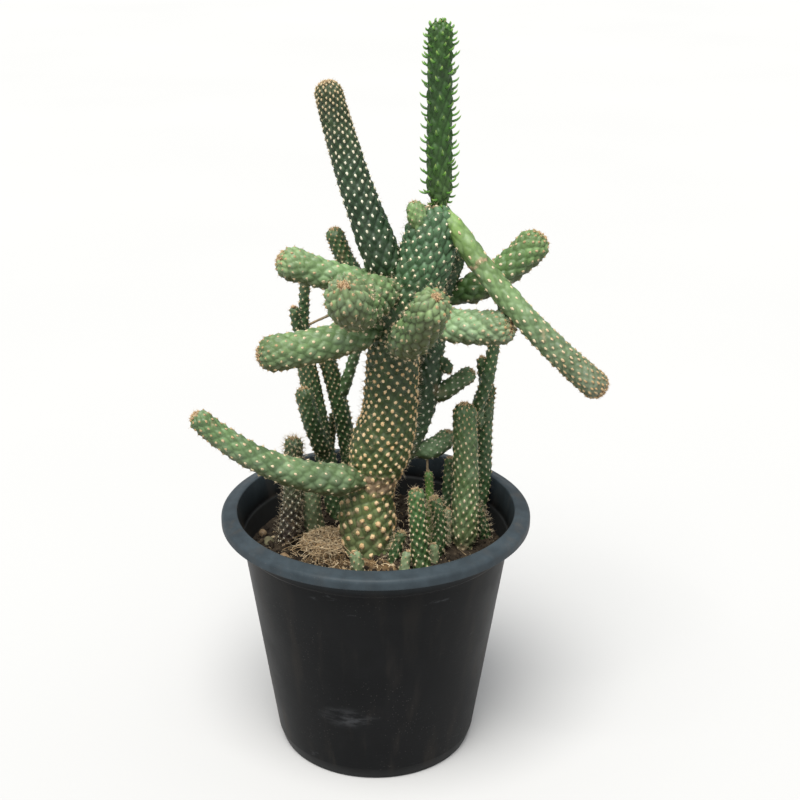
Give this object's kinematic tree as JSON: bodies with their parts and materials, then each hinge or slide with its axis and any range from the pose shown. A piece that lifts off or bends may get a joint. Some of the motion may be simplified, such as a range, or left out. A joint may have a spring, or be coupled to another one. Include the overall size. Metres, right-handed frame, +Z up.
{
  "type": "potted cylinder cactus",
  "caption": "Branching cylindrical cactus with short stubby arms, long upright and drooping arms and rooted side stems, growing in a round tapered nursery pot.",
  "frame": {"origin": "centre of the pot's flat underside", "axes": "+Z up, +X to the right and -Y to the front, where two stubby arms point at the viewer"},
  "size_m": [0.3482, 0.28, 0.6593],
  "materials": {
    "trunk_skin": "matte",
    "arm_skin": "matte",
    "leafy_skin": "matte",
    "dark_skin": "matte",
    "pale_skin": "matte",
    "twig_bark": "matte",
    "pot_plastic": "satin",
    "soil_earth": "matte",
    "root_fibre": "matte",
    "stone_grit": "matte"
  },
  "bodies": {
    "root": {"pot": "pot_plastic", "soil": "soil_earth", "trunk": "trunk_skin", "rear_column": "dark_skin", "stem_left_tall": "dark_skin", "stem_left_back": "dark_skin", "stem_left_thin": "dark_skin", "stem_left_short": "dark_skin", "stem_left_pale": "pale_skin", "stem_right_rear": "dark_skin", "stem_right": "dark_skin", "stem_right_inner": "dark_skin", "stem_front": "dark_skin", "stem_front_inner": "dark_skin", "stem_front_tiny": "leafy_skin", "stem_right_small": "dark_skin", "stem_front_stub": "pale_skin", "stem_front_spiky": "dark_skin", "stump_front": "pale_skin", "stump_pale": "pale_skin", "stump_inner": "pale_skin", "dry_stalk": "twig_bark", "arm_front_left": "arm_skin", "arm_tall_left": "dark_skin", "arm_tall_right": "leafy_skin", "arm_drooping": "arm_skin", "arm_right_lower": "arm_skin", "arm_front_right": "arm_skin", "arm_left_middle": "arm_skin", "arm_left_upper": "arm_skin", "arm_left_rear": "dark_skin", "arm_left_low": "arm_skin", "bud_top_left": "arm_skin", "bud_rear_left": "dark_skin", "arm_right_upper": "arm_skin", "arm_rear_right": "arm_skin", "arm_rear_low": "arm_skin", "bud_rear_right": "dark_skin", "stem_left_tall_top": "dark_skin", "stem_left_side": "dark_skin", "bud_left_tall": "dark_skin", "twig_left": "twig_bark", "stem_left_back_branch": "dark_skin", "stem_right_rear_top": "dark_skin", "bud_right_rear": "dark_skin", "aerial_root": "twig_bark", "root_mound": "root_fibre", "stone_left": "stone_grit", "stone_left_edge": "stone_grit", "stone_left_front": "stone_grit"}
  },
  "joints": []
}
